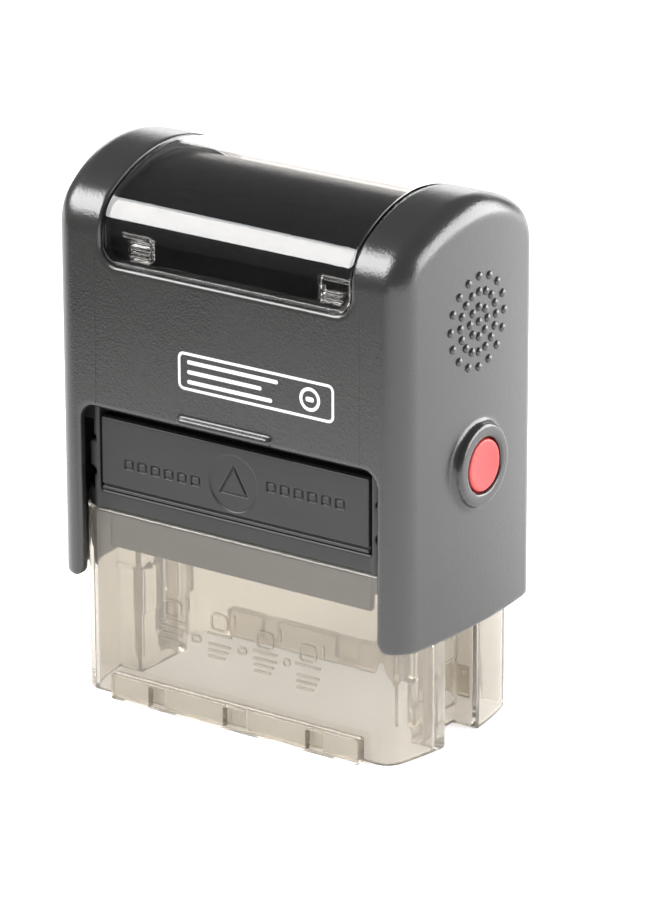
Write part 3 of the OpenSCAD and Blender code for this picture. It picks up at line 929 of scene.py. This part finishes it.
def build_cassette():
    """Pull-out cassette: engraved panel, tray and two felts."""
    panel = skin("cassette_panel_skin", panel_field, (-PANEL_HALF, -FOOT_DEEP, PANEL_LOW),
                 (PANEL_HALF, -FOOT_DEEP + PANEL_T, PANEL_TOP), step=0.15)
    finish_piece(panel, MOULDED, "pad_cassette", "black_smooth_plastic", "cassette_tray")
    low, high = box_mm("cassette_tray")
    tray = skin("cassette_tray_skin", tray_field, low, high, step=0.4)
    finish_piece(tray, MOULDED, "pad_cassette", "black_smooth_plastic")
    for name in ("lower_ink_pad", "upper_ink_pad"):
        low, high = box_mm(name)
        felt = skin(f"{name}_felt", felt_field(low[2], high[2]), low, high, step=0.45)
        finish_piece(felt, FELT, "pad_cassette", "inked_felt", name)


def build_platen():
    """Turning plate: carrier, cam discs, axle, foam and rubber keep their CAD shapes."""
    dress_cad("platen_block", INNER, edge_mm=0.3)
    dress_cad("left_cam_disc", INNER, edge_mm=0.15)
    dress_cad("right_cam_disc", INNER, edge_mm=0.15)
    dress_cad("platen_axle", AXLE, edge_mm=0.2)
    dress_cad("die_cushion", FOAM, edge_mm=0.15)
    dress_cad("rubber_die", RUBBER, edge_mm=0.08)


def build_springs():
    """Main spring and the two button springs."""
    low, high = box_mm("main_spring")
    along = coil_points(MAIN_COIL_R, low[2] + MAIN_WIRE_R, high[2] - MAIN_WIRE_R, MAIN_TURNS)
    coil = wire("main_spring_wire", along, MAIN_WIRE_R)
    finish_piece(coil, SPRING, "base", "spring_steel", "main_spring")
    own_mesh(coil)
    low, high = box_mm("right_button_spring")
    along = coil_points(SMALL_COIL_R, low[0] + SMALL_WIRE_R, high[0] - SMALL_WIRE_R, SMALL_TURNS)
    for side, s in (("left", -1), ("right", 1)):
        turned = [(s * z, x, BUTTON_Z + s * y) for x, y, z in along]
        coil = wire(f"{side}_button_spring_wire", turned, SMALL_WIRE_R)
        finish_piece(coil, SPRING, "cap", "spring_steel", f"{side}_button_spring")
        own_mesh(coil)


build_cap()
build_print()
build_foot()
build_cassette()
build_platen()
build_springs()


# ---------- floor, light and camera ----------

def build_floor():
    """Pale floor, lit a little from within so that it stays even."""
    m = Finish("pale_paper_floor")
    cloud = m.noise(60, 2)
    m.feed("Base Color", m.blend(cloud, (0.9, 0.9, 0.9, 1), (0.88, 0.88, 0.885, 1)))
    m.shader.inputs["Roughness"].default_value = 0.8
    m.shader.inputs["Specular IOR Level"].default_value = 0.1
    m.shader.inputs["Emission Color"].default_value = (1, 0.995, 0.99, 1)
    m.shader.inputs["Emission Strength"].default_value = 0.62
    half = 3.0
    corners_at = np.array([(-half, -half, 0), (half, -half, 0), (half, half, 0), (-half, half, 0)])
    floor = mesh_object("floor", corners_at, np.array([[0, 1, 2, 3]]))
    floor.data.materials.append(m.material)


LAMP_AIM = Vector((0, 0, 0.045))
LAMP_DISTANCE = 1.0


def softbox(name, azimuth, elevation, width, height, radiance):
    """Lamp facing the stamp's middle. azimuth is turned from +X toward +Y; angles are in degrees."""
    a, e = math.radians(azimuth), math.radians(elevation)
    back = Vector((math.cos(a) * math.cos(e), math.sin(a) * math.cos(e), math.sin(e)))
    data = bpy.data.lights.new(name, "AREA")
    data.shape = "RECTANGLE"
    data.size = width
    data.size_y = height
    data.energy = radiance * math.pi * width * height
    lamp = bpy.data.objects.new(name, data)
    bpy.context.scene.collection.objects.link(lamp)
    lamp.location = LAMP_AIM + back * LAMP_DISTANCE
    lamp.rotation_mode = "QUATERNION"
    lamp.rotation_quaternion = back.to_track_quat("Z", "Y")
    lamp.visible_camera = False


def black_card(name, azimuth, width, near, far):
    """Card that keeps the floor's glare off the window.

    near and far are its two long edges, each as (distance, height).
    """
    a = math.radians(azimuth)
    out = np.array((math.cos(a), math.sin(a), 0))
    along = np.array((-math.sin(a), math.cos(a), 0)) * width / 2
    edges = [out * reach + np.array((0, 0, height)) for reach, height in (near, far)]
    points = np.array([edges[0] - along, edges[0] + along, edges[1] + along, edges[1] - along])
    card = mesh_object(name, points, np.array([[0, 1, 2, 3]]))
    m = Finish("black_flocked_card", Specular_IOR_Level=0.0)
    m.feed("Base Color", m.blend(m.noise(3), (0.08, 0.08, 0.08, 1), (0.1, 0.1, 0.1, 1)))
    m.feed("Roughness", 0.9 + 0.1 * m.noise(3))
    card.data.materials.append(m.material)
    card.visible_camera = False


def build_light():
    """Soft room light, one key softbox and two behind, with black cards for the window."""
    world = bpy.data.worlds.new("studio")
    bpy.context.scene.world = world
    world.use_nodes = True
    air = world.node_tree.nodes["Background"]
    air.inputs["Color"].default_value = (0.97, 0.98, 1, 1)
    air.inputs["Strength"].default_value = 0.19
    softbox("key_softbox", azimuth=-138, elevation=37, width=0.9, height=0.6, radiance=10.5)
    softbox("rear_right_softbox", azimuth=42, elevation=18, width=1.4, height=0.65, radiance=8.0)
    softbox("rear_left_softbox", azimuth=122, elevation=9, width=0.8, height=0.3, radiance=2.6)
    black_card("upright_black_card", azimuth=-126, width=0.5, near=(0.26, 0.001), far=(0.26, 0.152))
    black_card("flat_black_card", azimuth=-126, width=0.26, near=(0.19, 0.001), far=(0.26, 0.001))
    bpy.context.scene.view_settings.view_transform = "Standard"


def build_camera():
    """Long lens from the front right, a little above the stamp."""
    azimuth, elevation, roll = (math.radians(a) for a in (35.413, 19.576, -0.152))
    distance = 0.76735
    aim_x = 4.942 * MM
    aim_z = 37.466 * MM
    back = Vector((math.sin(azimuth) * math.cos(elevation), -math.cos(azimuth) * math.cos(elevation),
                   math.sin(elevation)))
    level = Vector((math.cos(azimuth), math.sin(azimuth), 0))
    over = back.cross(level)
    right = math.cos(roll) * level + math.sin(roll) * over
    up = math.cos(roll) * over - math.sin(roll) * level
    data = bpy.data.cameras.new("camera")
    data.sensor_width = 36
    data.lens = 215.928
    data.clip_start = 0.01
    camera = bpy.data.objects.new("camera", data)
    bpy.context.scene.collection.objects.link(camera)
    place = Vector((aim_x * math.cos(azimuth), aim_x * math.sin(azimuth), aim_z)) + back * distance
    turn = Matrix((right, up, back)).transposed().to_4x4()
    camera.matrix_world = Matrix.Translation(place) @ turn
    bpy.context.scene.camera = camera


build_floor()
build_light()
build_camera()
